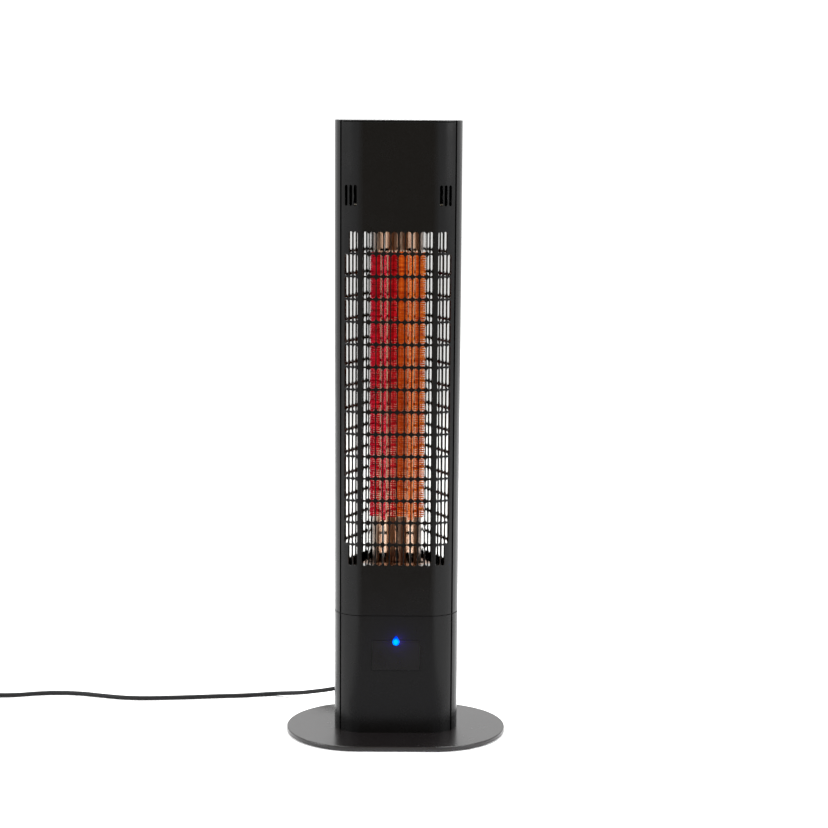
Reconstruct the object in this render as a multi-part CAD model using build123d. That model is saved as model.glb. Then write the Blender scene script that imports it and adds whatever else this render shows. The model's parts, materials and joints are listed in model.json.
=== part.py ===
from build123d import *
import os
from math import cos, degrees, pi, radians, sin, tan

# Outdoor column heater. Millimetres, +Z up, front faces -Y.
# Origin: centre of the base's underside, on the surface that the heater stands on.

# ---- Driving dimensions ----
HEIGHT = 960.0
COLUMN_WIDTH = 194.0
COLUMN_DEPTH = 88.0
WALL = 2.0
RIM_EDGE = 0.8
CAP_EDGE = 0.5
COVER_TOP = 957.4
CAP_LOW = 958.4
CAP_LIP_INSET = 0.4

PLATE_WIDTH = 345.6
PLATE_DEPTH = 226.8
PLATE_THICKNESS = 6.0
PLATE_EDGE = 1.6
FOOT_HEIGHT = 2.2
FOOT_RADIUS = 11.0

SEAM_HEIGHT = 197.0
SEAM_GAP = 1.2
GROOVE_ANGLE = 50.7
GROOVE_WIDTH = 3.8

GUARD_TOP = 794.6
GUARD_BOTTOM = 275.2
GUARD_ROWS = 15
GUARD_BAR = 2.6
FLAT_COLUMNS = 10
FLAT_PITCH = 10.93
FLAT_SLOT = 9.0
ROUND_ANGLES = (14.9, 25.1, 35.2)
ROUND_SLOT = 6.7

VENT_ANGLES = (16.0, 25.6, 35.8)
VENT_SLOT = 5.2
VENT_LOW = 831.8
VENT_HIGH = 863.2

PANEL_WIDTH = 75.0
PANEL_LOW = 109.3
PANEL_HIGH = 157.7
PANEL_SIDE_GAP = 0.4
PANEL_TOP_GAP = 0.5
PANEL_FOOT_GAP = 0.8
PANEL_PROUD = 3.0
PANEL_SKIN = 2.0
PADDLE_AXIS_Y = -39.6
PADDLE_AXIS_Z = 152.5
PADDLE_PIN_RADIUS = 1.5
RUNNING_GAP = 0.05

LENS_RADIUS = 5.6
LENS_TIP_RADIUS = 1.6
LENS_TIP_RISE = 7.6
LENS_PROUD = 1.8
LENS_HEIGHT = 155.3
LENS_GAP = 0.7

LAMP_X = 21.0
LAMP_Y = -14.0
LAMP_RADIUS = 6.0
LAMP_WALL = 1.2
LAMP_LOW = 250.0
LAMP_HIGH = 824.0
FILAMENT_RADIUS = 4.2
FILAMENT_LOW = 342.0
FILAMENT_HIGH = 761.0

REFLECTOR_FOCUS = 15.0
REFLECTOR_FACET = 41.0
REFLECTOR_LIP_X = 80.0
REFLECTOR_LIP_Y = -29.0
REFLECTOR_SHEET = 1.2
REFLECTOR_LOW = 268.0
REFLECTOR_HIGH = 807.0

RAIL_X = 44.0
RAIL_WIDTH = 16.0
RAIL_SHEET = 1.5

SCREW_HEAD = 3.5
SCREW_SHANK = 1.75

ROCKER_X = 12.0
ROCKER_Z = 70.0
ROCKER_TILT = 9.0

TILT_X = 48.0
TILT_Y = -7.0
TILT_PIN_Z = 62.0

CORD_RADIUS = 3.5
GLAND_X = -24.0
GLAND_Z = 44.0
GLAND_LENGTH = 32.0
COIL_X = -706.0
COIL_Y = 112.5
COIL_RADIUS = 37.5
COIL_BAND = 21.0
COIL_LOW = 1.2
COIL_HIGH = 15.4
PLUG_X = -750.0
PLUG_Z = 18.2
PLUG_BACK_Y = 65.0

# Route of the cord from the gland to the coil, chosen by hand. Floor height is the cord's radius.
CORD_ROUTE = [
    (-24.0, 76.0, 44.0), (-24.0, 97.0, 44.0), (-40.0, 115.0, 41.5), (-72.0, 126.0, 34.5),
    (-109.0, 133.0, 24.0), (-139.5, 143.0, 17.0), (-160.3, 155.0, 11.0), (-181.0, 167.0, 6.8),
    (-205.0, 175.0, 3.5), (-233.0, 168.5, 3.5), (-262.0, 162.5, 3.5), (-300.0, 159.0, 3.5),
    (-340.0, 153.0, 3.5), (-380.0, 148.5, 3.5), (-420.0, 145.0, 3.5), (-455.0, 147.5, 3.5),
    (-490.0, 157.5, 3.5), (-528.0, 170.0, 3.5), (-566.0, 173.5, 3.5), (-602.0, 169.0, 3.5),
    (-634.0, 158.5, 3.5), (-664.0, 155.5, 4.2), (-700.0, 157.0, 4.7),
]
TAIL_ROUTE = [(-748.0, 113.0, 11.5), (-749.5, 97.0, 14.0), (-750.0, 80.0, 18.2), (-750.0, 65.0, 18.2)]

# ---- Derived sizes ----
ROUND = COLUMN_DEPTH / 2
HALF_FLAT = COLUMN_WIDTH / 2 - ROUND
INNER = ROUND - WALL
PLATE_TOP = FOOT_HEIGHT + PLATE_THICKNESS
SEAM_LOW = SEAM_HEIGHT - SEAM_GAP / 2
SEAM_HIGH = SEAM_HEIGHT + SEAM_GAP / 2
GROOVE_HALF = degrees(GROOVE_WIDTH / 2 / ROUND)
FRONT_EDGE = GROOVE_ANGLE - GROOVE_HALF
REAR_EDGE = GROOVE_ANGLE + GROOVE_HALF
ROW_PITCH = (GUARD_TOP - GUARD_BOTTOM) / GUARD_ROWS
BRACKET_TOP = PLATE_TOP + 4.0
FAR = 150.0


# ---- Shared shapes ----
def block(x0, x1, y0, y1, z0, z1):
    centre = Pos((x0 + x1) / 2, (y0 + y1) / 2, (z0 + z1) / 2)
    return centre * Box(x1 - x0, y1 - y0, z1 - z0)


def rod_x(x0, x1, y, z, radius):
    bar = Cylinder(radius, x1 - x0, align=(Align.CENTER, Align.CENTER, Align.MIN))
    return Pos(x0, y, z) * Rot(0, 90, 0) * bar


def rod_y(x, y0, y1, z, radius):
    bar = Cylinder(radius, y1 - y0, align=(Align.CENTER, Align.CENTER, Align.MIN))
    return Pos(x, y0, z) * Rot(-90, 0, 0) * bar


def rod_z(x, y, z0, z1, radius):
    bar = Cylinder(radius, z1 - z0, align=(Align.CENTER, Align.CENTER, Align.MIN))
    return Pos(x, y, z0) * bar


def cone_y(x, y0, y1, z, radius0, radius1):
    body = Cone(radius0, radius1, y1 - y0, align=(Align.CENTER, Align.CENTER, Align.MIN))
    return Pos(x, y0, z) * Rot(-90, 0, 0) * body


def slab(face, z0, z1):
    return extrude(Pos(0, 0, z0) * face, amount=z1 - z0)


def column_slab(inset, z0, z1):
    return slab(SlotOverall(COLUMN_WIDTH - 2 * inset, COLUMN_DEPTH - 2 * inset), z0, z1)


def column_ring(inset, thickness, z0, z1):
    return column_slab(inset, z0, z1) - column_slab(inset + thickness, z0 - 1, z1 + 1)


def on_round(side, angle, radius):
    a = radians(angle)
    return (side * (HALF_FLAT + radius * sin(a)), -radius * cos(a))


def front_region(angle, z0, z1):
    right = on_round(1, angle, FAR)
    left = on_round(-1, angle, FAR)
    outline = [(-HALF_FLAT, 0), left, (left[0], -FAR), (right[0], -FAR), right, (HALF_FLAT, 0)]
    return slab(Polygon(*outline, align=None), z0 - 1, z1 + 1)


def slot_cutter(side, angle, z, length, width):
    x, y = on_round(side, angle, ROUND + 4)
    inward = (-side * sin(radians(angle)), cos(radians(angle)), 0)
    plane = Plane(origin=(x, y, z), x_dir=(0, 0, 1), z_dir=inward)
    return extrude(plane * SlotOverall(length, width), amount=8)


def flat_slot_cutter(x, z, length, width):
    plane = Plane(origin=(x, -ROUND - 4, z), x_dir=(0, 0, 1), z_dir=(0, 1, 0))
    return extrude(plane * SlotOverall(length, width), amount=8)


def softened(solid, z, radius):
    rim = solid.edges().filter_by_position(Axis.Z, z - 0.01, z + 0.01)
    return chamfer(rim, radius)


def arc_radii(points):
    corners = [Vector(*p) for p in points]
    radii = []
    for before, here, after in zip(corners, corners[1:], corners[2:]):
        turn = (here - before).get_angle(after - here)
        shorter = min((here - before).length, (after - here).length)
        radii.append(0.45 * shorter / tan(radians(turn) / 2))
    return radii


def tube(points, radius):
    path = FilletPolyline(*points, radius=arc_radii(points))
    section = Plane(origin=path @ 0, z_dir=path % 0) * Circle(radius)
    return sweep(section, path=path)


def screws_rear(positions, face_y):
    heads = []
    for x, z in positions:
        head = cone_y(x, face_y, face_y + 1.8, z, SCREW_HEAD, SCREW_HEAD - 0.9)
        shank = rod_y(x, face_y - 7.0, face_y, z, SCREW_SHANK)
        drive = rod_y(x, face_y + 0.7, face_y + 3.0, z, 1.1)
        heads.append(head + shank - drive)
    return Compound(children=heads)


def lens_prism(grow, y0, y1):
    circles = [Circle(LENS_RADIUS + grow), Pos(0, LENS_TIP_RISE) * Circle(LENS_TIP_RADIUS + grow)]
    outline = make_hull(circles[0].edges() + circles[1].edges())
    plane = Plane(origin=(0, y0, LENS_HEIGHT), x_dir=(-1, 0, 0), z_dir=(0, 1, 0))
    return extrude(plane * outline, amount=y1 - y0)


def save(name, shape):
    export_step(shape, "parts/" + name + ".step")


# ---- Base ----
def base_plate():
    plate = slab(SlotOverall(PLATE_WIDTH, PLATE_DEPTH), FOOT_HEIGHT, PLATE_TOP)
    rim = plate.edges().filter_by_position(Axis.Z, PLATE_TOP - 0.01, PLATE_TOP + 0.01)
    plate = fillet(rim, PLATE_EDGE)
    holes = [rod_z(x, y, 0, PLATE_TOP + 1, 2.6) for x, y in base_screw_places()]
    sinks = [rod_z(x, y, 0, FOOT_HEIGHT + 3.0, 5.2) for x, y in base_screw_places()]
    return plate - holes - sinks


def base_screw_places():
    return [(x, y) for x in (-70.0, 0.0, 70.0) for y in (-24.0, 24.0)]


def base_feet():
    places = [(-132, 0), (132, 0), (-85, -80), (85, -80), (-85, 80), (85, 80)]
    feet = [rod_z(x, y, 0, FOOT_HEIGHT, FOOT_RADIUS) for x, y in places]
    return Compound(children=[chamfer(foot.edges().group_by(Axis.Z)[0], 0.6) for foot in feet])


def base_screws():
    screws = []
    for x, y in base_screw_places():
        head = rod_z(x, y, FOOT_HEIGHT + 0.2, FOOT_HEIGHT + 3.0, 4.8)
        shank = rod_z(x, y, FOOT_HEIGHT + 3.0, BRACKET_TOP + 3.0, 2.5)
        drive = rod_z(x, y, 0, FOOT_HEIGHT + 1.8, 1.6)
        screws.append(head + shank - drive)
    return Compound(children=screws)


def foot_bracket():
    plate = column_slab(WALL + 1.6, PLATE_TOP, BRACKET_TOP)
    bosses = [rod_z(x, y, BRACKET_TOP, BRACKET_TOP + 4.0, 5.0) for x, y in base_screw_places()]
    holes = [rod_z(x, y, 0, BRACKET_TOP + 5.0, 2.5) for x, y in base_screw_places()]
    return plate + bosses - holes


# ---- Shells ----
def lower_front_cover():
    ring = column_ring(0, WALL, PLATE_TOP, SEAM_LOW)
    cover = ring & front_region(FRONT_EDGE, PLATE_TOP, SEAM_LOW)
    half = PANEL_WIDTH / 2
    window = block(-half, half, -ROUND - 2, -ROUND + 8, PANEL_LOW, PANEL_HIGH)
    lens_hole = lens_prism(0.4, -ROUND - 2, -ROUND + 8)
    return cover - [window, lens_hole]


def lower_rear_shell():
    ring = column_ring(0, WALL, PLATE_TOP, SEAM_LOW)
    shell = ring - front_region(REAR_EDGE, PLATE_TOP, SEAM_LOW)
    gland_hole = rod_y(GLAND_X, ROUND - 8, ROUND + 2, GLAND_Z, 7.0)
    rocker_hole = block(ROCKER_X - 7, ROCKER_X + 7, ROUND - 8, ROUND + 2, ROCKER_Z - 14, ROCKER_Z + 14)
    screw_holes = [rod_y(x, ROUND - 8, ROUND + 2, z, SCREW_SHANK) for x, z in lower_screw_places()]
    return shell - [gland_hole, rocker_hole] - screw_holes


def upper_front_cover():
    ring = column_ring(0, WALL, SEAM_HIGH, COVER_TOP)
    cover = ring & front_region(FRONT_EDGE, SEAM_HIGH, COVER_TOP)
    cover = softened(cover, COVER_TOP, RIM_EDGE)
    cutters = []
    slot_length = ROW_PITCH - GUARD_BAR
    for row in range(GUARD_ROWS):
        z = GUARD_TOP - (row + 0.5) * ROW_PITCH
        for column in range(FLAT_COLUMNS):
            x = (column - (FLAT_COLUMNS - 1) / 2) * FLAT_PITCH
            cutters.append(flat_slot_cutter(x, z, slot_length, FLAT_SLOT))
        end_row = row in (0, GUARD_ROWS - 1)
        angles = ROUND_ANGLES[:-1] if end_row else ROUND_ANGLES
        for angle in angles:
            cutters.append(slot_cutter(-1, angle, z, slot_length, ROUND_SLOT))
            cutters.append(slot_cutter(1, angle, z, slot_length, ROUND_SLOT))
    middle = (VENT_LOW + VENT_HIGH) / 2
    for angle in VENT_ANGLES:
        cutters.append(slot_cutter(-1, angle, middle, VENT_HIGH - VENT_LOW, VENT_SLOT))
        cutters.append(slot_cutter(1, angle, middle, VENT_HIGH - VENT_LOW, VENT_SLOT))
    return cover - cutters


def upper_rear_shell():
    ring = column_ring(0, WALL, SEAM_HIGH, HEIGHT)
    shell = ring - front_region(REAR_EDGE, SEAM_HIGH, HEIGHT)
    shell = softened(shell, HEIGHT, RIM_EDGE)
    vents = []
    for row in range(5):
        for x in (-17.0, 17.0):
            z = 800.0 + row * 14.0
            plane = Plane(origin=(x, ROUND + 4, z), x_dir=(1, 0, 0), z_dir=(0, -1, 0))
            vents.append(extrude(plane * SlotOverall(26, 5), amount=8))
    screw_holes = [rod_y(x, ROUND - 8, ROUND + 2, z, SCREW_SHANK) for x, z in upper_screw_places()]
    return shell - vents - screw_holes


def side_trims(z0, z1):
    strips = []
    strip = column_ring(WALL, 1.4, z0, z1)
    strip = (strip & front_region(REAR_EDGE + 4.5, z0, z1)) - front_region(FRONT_EDGE - 4.5, z0, z1)
    for side in (-1, 1):
        half = block(min(0, side * FAR), max(0, side * FAR), -FAR, FAR, z0 - 1, z1 + 1)
        strips.append(strip & half)
    return Compound(children=strips)


def seam_gasket():
    return column_ring(0.8, 1.2, SEAM_LOW, SEAM_HIGH)


def top_cap():
    lid = column_slab(WALL + 0.2, CAP_LOW, HEIGHT)
    lip = softened(column_slab(CAP_LIP_INSET, CAP_LOW, HEIGHT), HEIGHT, CAP_EDGE)
    lip = lip & front_region(FRONT_EDGE, CAP_LOW, HEIGHT)
    skirt = column_ring(WALL + 2.0, 1.5, HEIGHT - 12.0, CAP_LOW)
    return lid + lip + skirt


def cap_gasket():
    return column_ring(WALL, 2.0, CAP_LOW - 1.4, CAP_LOW)


def lower_screw_places():
    return [(x, z) for x in (-RAIL_X, RAIL_X) for z in (26.0, 170.0)]


def upper_screw_places():
    return [(x, z) for x in (-RAIL_X, RAIL_X) for z in (225.0, 460.0, 695.0, 930.0)]


# ---- Frame inside ----
def chassis_rails():
    rails = []
    y0 = 16.0
    y1 = INNER
    z1 = HEIGHT - 14.0
    for side in (-1, 1):
        x0 = side * RAIL_X - RAIL_WIDTH / 2
        x1 = side * RAIL_X + RAIL_WIDTH / 2
        outer = block(x0, x1, y0, y1, BRACKET_TOP, z1)
        open_side = block(x0 + RAIL_SHEET, x1 - RAIL_SHEET, y0 - 1, y1 - RAIL_SHEET, 0, z1 + 1)
        places = lower_screw_places() + upper_screw_places()
        holes = [rod_y(x, y1 - 4, y1 + 1, z, SCREW_SHANK) for x, z in places if x * side > 0]
        rails.append(outer - open_side - holes)
    return Compound(children=rails)


def divider_plate():
    plate = column_slab(WALL + 4.0, 214.0, 215.5)
    x0 = RAIL_X - RAIL_WIDTH / 2 - 0.5
    x1 = RAIL_X + RAIL_WIDTH / 2 + 0.5
    notches = [block(x0, x1, 15.5, 60, 200, 230), block(-x1, -x0, 15.5, 60, 200, 230)]
    passages = [rod_z(x, y, 200, 230, 6.0) for x, y in ((-28, 0), (28, 0), (0, 28))]
    return plate - notches - passages


def heat_shield():
    back = block(-74, 74, 13.0, 14.0, 256, 820)
    left = block(-75, -74, -24.1, 14.0, 256, 820)
    right = block(74, 75, -24.1, 14.0, 256, 820)
    return back + left + right


def shield_spacers():
    spacers = []
    for side in (-1, 1):
        for z in (300, 538, 776):
            x = side * RAIL_X
            spacers.append(block(x - RAIL_WIDTH / 2, x + RAIL_WIDTH / 2, 14.0, 16.0, z - 12, z + 12))
    return Compound(children=spacers)


# ---- Reflector and lamps ----
def trough_y(x):
    focus_y = LAMP_Y + REFLECTOR_FOCUS
    return focus_y - (x - LAMP_X) ** 2 / (4 * REFLECTOR_FOCUS)


def trough_points():
    steps = (0.0, 7.0, 14.0, 21.0, 28.0, 34.5, REFLECTOR_FACET)
    return [(x, trough_y(x)) for x in steps]


def mirrored(points):
    return [(-x, y) for x, y in reversed(points)]


def reflector_face(drop):
    lip = [(REFLECTOR_LIP_X, REFLECTOR_LIP_Y + drop)]
    right = [(x, y + drop) for x, y in trough_points()]
    right_curve = Spline(*right)
    left_curve = Spline(*mirrored(right))
    right_flank = Line(right[-1], lip[0])
    left_flank = Line((-lip[0][0], lip[0][1]), (-right[-1][0], right[-1][1]))
    return [left_flank, left_curve, right_curve, right_flank]


def reflector():
    front = reflector_face(0)
    back = reflector_face(REFLECTOR_SHEET)
    x = REFLECTOR_LIP_X
    ends = [Line((s * x, REFLECTOR_LIP_Y), (s * x, REFLECTOR_LIP_Y + REFLECTOR_SHEET)) for s in (-1, 1)]
    section = make_face(Curve() + front + back + ends)
    return slab(section, REFLECTOR_LOW, REFLECTOR_HIGH)


def end_plate(z0, z1):
    front = Line((-REFLECTOR_LIP_X, REFLECTOR_LIP_Y), (REFLECTOR_LIP_X, REFLECTOR_LIP_Y))
    plate = slab(make_face(Curve() + reflector_face(0) + [front]), z0, z1)
    holes = [rod_z(x, LAMP_Y, z0 - 1, z1 + 1, LAMP_RADIUS + 1.0) for x in (-LAMP_X, LAMP_X)]
    return plate - holes


def quartz_tube(x):
    outer = rod_z(x, LAMP_Y, LAMP_LOW, LAMP_HIGH, LAMP_RADIUS)
    bore = rod_z(x, LAMP_Y, LAMP_LOW + 6, LAMP_HIGH - 6, LAMP_RADIUS - LAMP_WALL)
    return outer - bore


def filament(x):
    return rod_z(x, LAMP_Y, FILAMENT_LOW, FILAMENT_HIGH, FILAMENT_RADIUS)


def filament_leads():
    leads = []
    for x in (-LAMP_X, LAMP_X):
        leads.append(rod_z(x, LAMP_Y, LAMP_LOW + 6, FILAMENT_LOW, 0.5))
        leads.append(rod_z(x, LAMP_Y, FILAMENT_HIGH, LAMP_HIGH - 6, 0.5))
    return Compound(children=leads)


def lamp_end_caps():
    caps = []
    for x in (-LAMP_X, LAMP_X):
        low = rod_z(x, LAMP_Y, LAMP_LOW - 16, LAMP_LOW + 6, 8.5)
        low_seat = rod_z(x, LAMP_Y, LAMP_LOW, LAMP_LOW + 7, LAMP_RADIUS)
        high = rod_z(x, LAMP_Y, LAMP_HIGH - 6, LAMP_HIGH + 16, 8.5)
        high_seat = rod_z(x, LAMP_Y, LAMP_HIGH - 7, LAMP_HIGH, LAMP_RADIUS)
        caps.append(low - low_seat)
        caps.append(high - high_seat)
    return Compound(children=caps)


def lamp_bracket(z0, z1):
    shelf = block(-68, 68, LAMP_Y - 12, 13.0, z0, z1)
    holes = [rod_z(x, LAMP_Y, z0 - 1, z1 + 1, 8.5) for x in (-LAMP_X, LAMP_X)]
    tab_low = z0 if z0 < HEIGHT / 2 else z0 - 14
    tab_high = z1 + 14 if z0 < HEIGHT / 2 else z1
    tab = block(-40, 40, 11.5, 13.0, tab_low, tab_high)
    return shelf + tab - holes


def thermal_cutout():
    disc = rod_y(0, 14.0, 19.0, 700, 8.5)
    body = rod_y(0, 19.0, 26.0, 700, 6.5)
    blades = [block(s * 4 - 0.4, s * 4 + 0.4, 26.0, 32.0, 697, 703) for s in (-1, 1)]
    return disc + body + blades


# ---- Controls ----
def paddle_slope():
    return PANEL_PROUD / (PANEL_HIGH - PANEL_LOW)


def control_paddle():
    low = PANEL_LOW + PANEL_FOOT_GAP
    high = PANEL_HIGH - PANEL_TOP_GAP
    half = PANEL_WIDTH / 2 - PANEL_SIDE_GAP
    back = -ROUND + WALL
    outline = [(-ROUND, high), (-ROUND - PANEL_PROUD, low), (back, low), (back, high)]
    face = Plane.YZ * Polygon(*outline, align=None)
    wedge = Pos(-half, 0, 0) * extrude(face, amount=2 * half)
    front = wedge.edges().group_by(Axis.Y)[0]
    wedge = fillet(front, 0.8)
    skin = PANEL_SKIN
    slope_y = -ROUND - PANEL_PROUD + skin + 0.2
    front_low = (slope_y, low + skin)
    back_low = (back + 1, low + skin)
    back_high = (back + 1, high - 12)
    front_high = (-ROUND + skin, high - 12)
    hollow_outline = [front_low, back_low, back_high, front_high]
    hollow = extrude(Plane.YZ * Polygon(*hollow_outline, align=None), amount=2 * half - 2 * skin)
    wedge = wedge - Pos(-half + skin, 0, 0) * hollow
    notch = lens_prism(LENS_GAP, -60, -30)
    ears = []
    for side in (-1, 1):
        ear = block(-2, 2, back, PADDLE_AXIS_Y, PADDLE_AXIS_Z - 3.2, PADDLE_AXIS_Z + 3.2)
        ear = ear + rod_x(-2, 2, PADDLE_AXIS_Y, PADDLE_AXIS_Z, 3.2)
        ears.append(Pos(side * 26, 0, 0) * ear)
    post = block(-3, 3, -ROUND - 1.5, -39.4, 114.0, 120.0)
    bores = rod_x(-50, 50, PADDLE_AXIS_Y, PADDLE_AXIS_Z, PADDLE_PIN_RADIUS + RUNNING_GAP)
    return wedge + ears + post - [notch, bores]


def paddle_pins():
    pins = [rod_x(16, 34, PADDLE_AXIS_Y, PADDLE_AXIS_Z, PADDLE_PIN_RADIUS)]
    pins.append(rod_x(-34, -16, PADDLE_AXIS_Y, PADDLE_AXIS_Z, PADDLE_PIN_RADIUS))
    return Compound(children=pins)


def paddle_springs():
    springs = []
    for x0, x1 in ((17.0, 23.5), (-23.5, -17.0)):
        coil = rod_x(x0, x1, PADDLE_AXIS_Y, PADDLE_AXIS_Z, 2.3)
        bore = rod_x(x0 - 1, x1 + 1, PADDLE_AXIS_Y, PADDLE_AXIS_Z, PADDLE_PIN_RADIUS)
        springs.append(coil - bore)
    return Compound(children=springs)


def control_frame():
    half = PANEL_WIDTH / 2
    back = -ROUND + WALL
    plate = block(-half - 8, half + 8, back, back + 1.6, PANEL_LOW - 8, PANEL_HIGH + 10)
    window = block(-half, half, back - 1, back + 4, PANEL_LOW, PANEL_HIGH - 1.6)
    lens_seat = lens_prism(0, back - 1, back + 4)
    ears = []
    for side in (-1, 1):
        arm = block(-1.5, 1.5, back + 1.6, PADDLE_AXIS_Y + 3.5, PADDLE_AXIS_Z - 3.5, PANEL_HIGH + 8)
        ears.append(Pos(side * 31.5, 0, 0) * arm)
    foot = block(-1.5, 1.5, back, back + 1.6, PANEL_HIGH - 1.7, PANEL_HIGH + 8)
    root = [Pos(side * 31.5, 0, 0) * foot for side in (-1, 1)]
    bores = rod_x(-50, 50, PADDLE_AXIS_Y, PADDLE_AXIS_Z, PADDLE_PIN_RADIUS)
    return plate - [window, lens_seat] + ears + root + board_posts() - bores


def board_posts():
    back = -ROUND + WALL + 1.6
    return [rod_y(x, back, -32.0, z, 3.0) for x, z in board_corners()]


def board_corners():
    half = PANEL_WIDTH / 2 + 4
    return [(x, z) for x in (-half, half) for z in (PANEL_LOW - 3, PANEL_HIGH + 5)]


def control_board():
    half = PANEL_WIDTH / 2 + 8
    board = block(-half, half, -32.0, -30.4, PANEL_LOW - 8, PANEL_HIGH + 10)
    holes = [rod_y(x, -34, -28, z, 1.5) for x, z in board_corners()]
    return board - holes


def board_screws():
    screws = []
    for x, z in board_corners():
        head = rod_y(x, -30.4, -28.6, z, 2.8)
        drive = rod_y(x, -29.6, -28.0, z, 0.9)
        shank = rod_y(x, -32.0, -30.4, z, 1.5)
        screws.append(head + shank - drive)
    return Compound(children=screws)


def board_parts():
    relays = [block(x - 8, x + 8, -30.4, -15.0, 114, 143) for x in (-28.0, 28.0)]
    supply = block(-12, 12, -30.4, -18.0, 118, 136)
    storage = rod_y(0, -30.4, -19.0, 146, 5.0)
    return Compound(children=relays + [supply, storage])


def push_switch():
    body = block(-6, 6, -36.0, -32.0, 111, 123)
    button = rod_y(0, -36.8, -36.0, 117, 1.7)
    return body + button


def indicator_led():
    return rod_y(0, -38.5, -32.0, LENS_HEIGHT, 2.5) + rod_y(0, -33.0, -32.0, LENS_HEIGHT, 2.9)


def indicator_lens():
    lens = lens_prism(0, -ROUND - LENS_PROUD, -38.5)
    return fillet(lens.edges().group_by(Axis.Y)[0], 1.2)


# ---- Mains parts at the rear ----
def rocker_case():
    bezel = block(ROCKER_X - 9, ROCKER_X + 9, ROUND, ROUND + 2, ROCKER_Z - 16.5, ROCKER_Z + 16.5)
    bezel = chamfer(bezel.edges().group_by(Axis.Y)[-1], 0.8)
    body = block(ROCKER_X - 7, ROCKER_X + 7, ROUND - 22, ROUND, ROCKER_Z - 14, ROCKER_Z + 14)
    well = block(ROCKER_X - 5.5, ROCKER_X + 5.5, ROUND - 8, ROUND + 3, ROCKER_Z - 12.2, ROCKER_Z + 12.2)
    bearing = rod_x(ROCKER_X - 6.6, ROCKER_X + 6.6, ROUND - 1, ROCKER_Z, 1.3 + RUNNING_GAP)
    blades = [block(ROCKER_X - 3.2, ROCKER_X + 3.2, ROUND - 31, ROUND - 22, z - 0.4, z + 0.4)
              for z in (ROCKER_Z - 9, ROCKER_Z, ROCKER_Z + 9)]
    return bezel + body + blades - [well, bearing]


def power_rocker():
    reach = 11.2
    rise = reach * tan(radians(ROCKER_TILT))
    outline = [(-4.5, -reach + 2), (2.6 + rise, -reach), (2.6, 0), (2.6 + rise, reach), (-4.5, reach - 2)]
    face = Plane.YZ * Polygon(*outline, align=None)
    body = Pos(-5.1, 0, 0) * extrude(face, amount=10.2)
    pivots = rod_x(-6.4, 6.4, 0, 0, 1.3)
    rocker = Rot(ROCKER_TILT, 0, 0) * (body + pivots)
    return Pos(ROCKER_X, ROUND - 1, ROCKER_Z) * rocker


def cord_gland():
    collar = rod_y(GLAND_X, ROUND, ROUND + 4, GLAND_Z, 9.5)
    sleeve = cone_y(GLAND_X, ROUND + 4, ROUND + GLAND_LENGTH, GLAND_Z, 7.4, 4.6)
    neck = rod_y(GLAND_X, ROUND - 6, ROUND, GLAND_Z, 7.0)
    lock = rod_y(GLAND_X, ROUND - 6, ROUND - 2, GLAND_Z, 9.0)
    bore = rod_y(GLAND_X, ROUND - 10, ROUND + GLAND_LENGTH + 1, GLAND_Z, CORD_RADIUS)
    grooves = []
    for step in range(4):
        y = ROUND + 9 + 5.2 * step
        radius = 7.4 - 2.8 * (y - ROUND - 4) / (GLAND_LENGTH - 4)
        ring = rod_y(GLAND_X, y, y + 2.0, GLAND_Z, 12) - rod_y(GLAND_X, y, y + 2.0, GLAND_Z, radius - 1.1)
        grooves.append(ring)
    return collar + sleeve + neck + lock - [bore] - grooves


def cord_inner_end():
    return rod_y(GLAND_X, 14, ROUND + GLAND_LENGTH, GLAND_Z, CORD_RADIUS)


def cord_clamp():
    foot = block(GLAND_X - 12, GLAND_X + 12, 18, 26, BRACKET_TOP, GLAND_Z - CORD_RADIUS)
    strap = block(GLAND_X - 12, GLAND_X + 12, 18, 26, GLAND_Z - CORD_RADIUS, GLAND_Z + 6)
    return foot + strap - rod_y(GLAND_X, 10, 30, GLAND_Z, CORD_RADIUS)


def terminal_block():
    body = block(-42, 2, -12, 6, BRACKET_TOP, BRACKET_TOP + 16)
    wells = [rod_z(-36 + 11 * i, -3, BRACKET_TOP + 8, BRACKET_TOP + 17, 3.0) for i in range(4)]
    return body - wells


def terminal_screws():
    screws = [rod_z(-36 + 11 * i, -3, BRACKET_TOP + 8, BRACKET_TOP + 13, 2.6) for i in range(4)]
    slot = block(-3, 3, -3.4, -2.6, BRACKET_TOP + 12, BRACKET_TOP + 14)
    slots = [Pos(-36 + 11 * i, 0, 0) * slot for i in range(4)]
    return Compound(children=[screw - slot for screw, slot in zip(screws, slots)])


def lamp_leads():
    leads = []
    for side in (-1, 1):
        x = side * LAMP_X
        low_end = LAMP_LOW - 16
        leads.append(tube([(x, LAMP_Y, low_end), (x, LAMP_Y, 226), (side * 28, 0, 212),
                           (side * 28, 2, 190), (side * 22, 12, 176)], 1.2))
        high_end = LAMP_HIGH + 16
        leads.append(tube([(x, LAMP_Y, high_end), (x, LAMP_Y, 858), (side * 24, 4, 868), (side * 30, 24, 850),
                           (side * 34, 28, 780), (side * 33, 29, 560), (side * 34, 28, 300)], 1.2))
    return Compound(children=leads)


# ---- Tip-over switch ----
def tilt_bracket():
    foot = block(TILT_X - 16, TILT_X + 16, TILT_Y - 16, TILT_Y + 12, BRACKET_TOP, BRACKET_TOP + 2)
    cheek = block(TILT_X - 1, TILT_X + 1, TILT_Y - 13, TILT_Y + 11, BRACKET_TOP, 88)
    cheeks = [Pos(offset, 0, 0) * cheek for offset in (-11, 11)]
    bore = rod_x(TILT_X - 20, TILT_X + 20, TILT_Y, TILT_PIN_Z, PADDLE_PIN_RADIUS)
    return foot + cheeks - bore


def tilt_pin():
    return rod_x(TILT_X - 13, TILT_X + 13, TILT_Y, TILT_PIN_Z, PADDLE_PIN_RADIUS)


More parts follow.
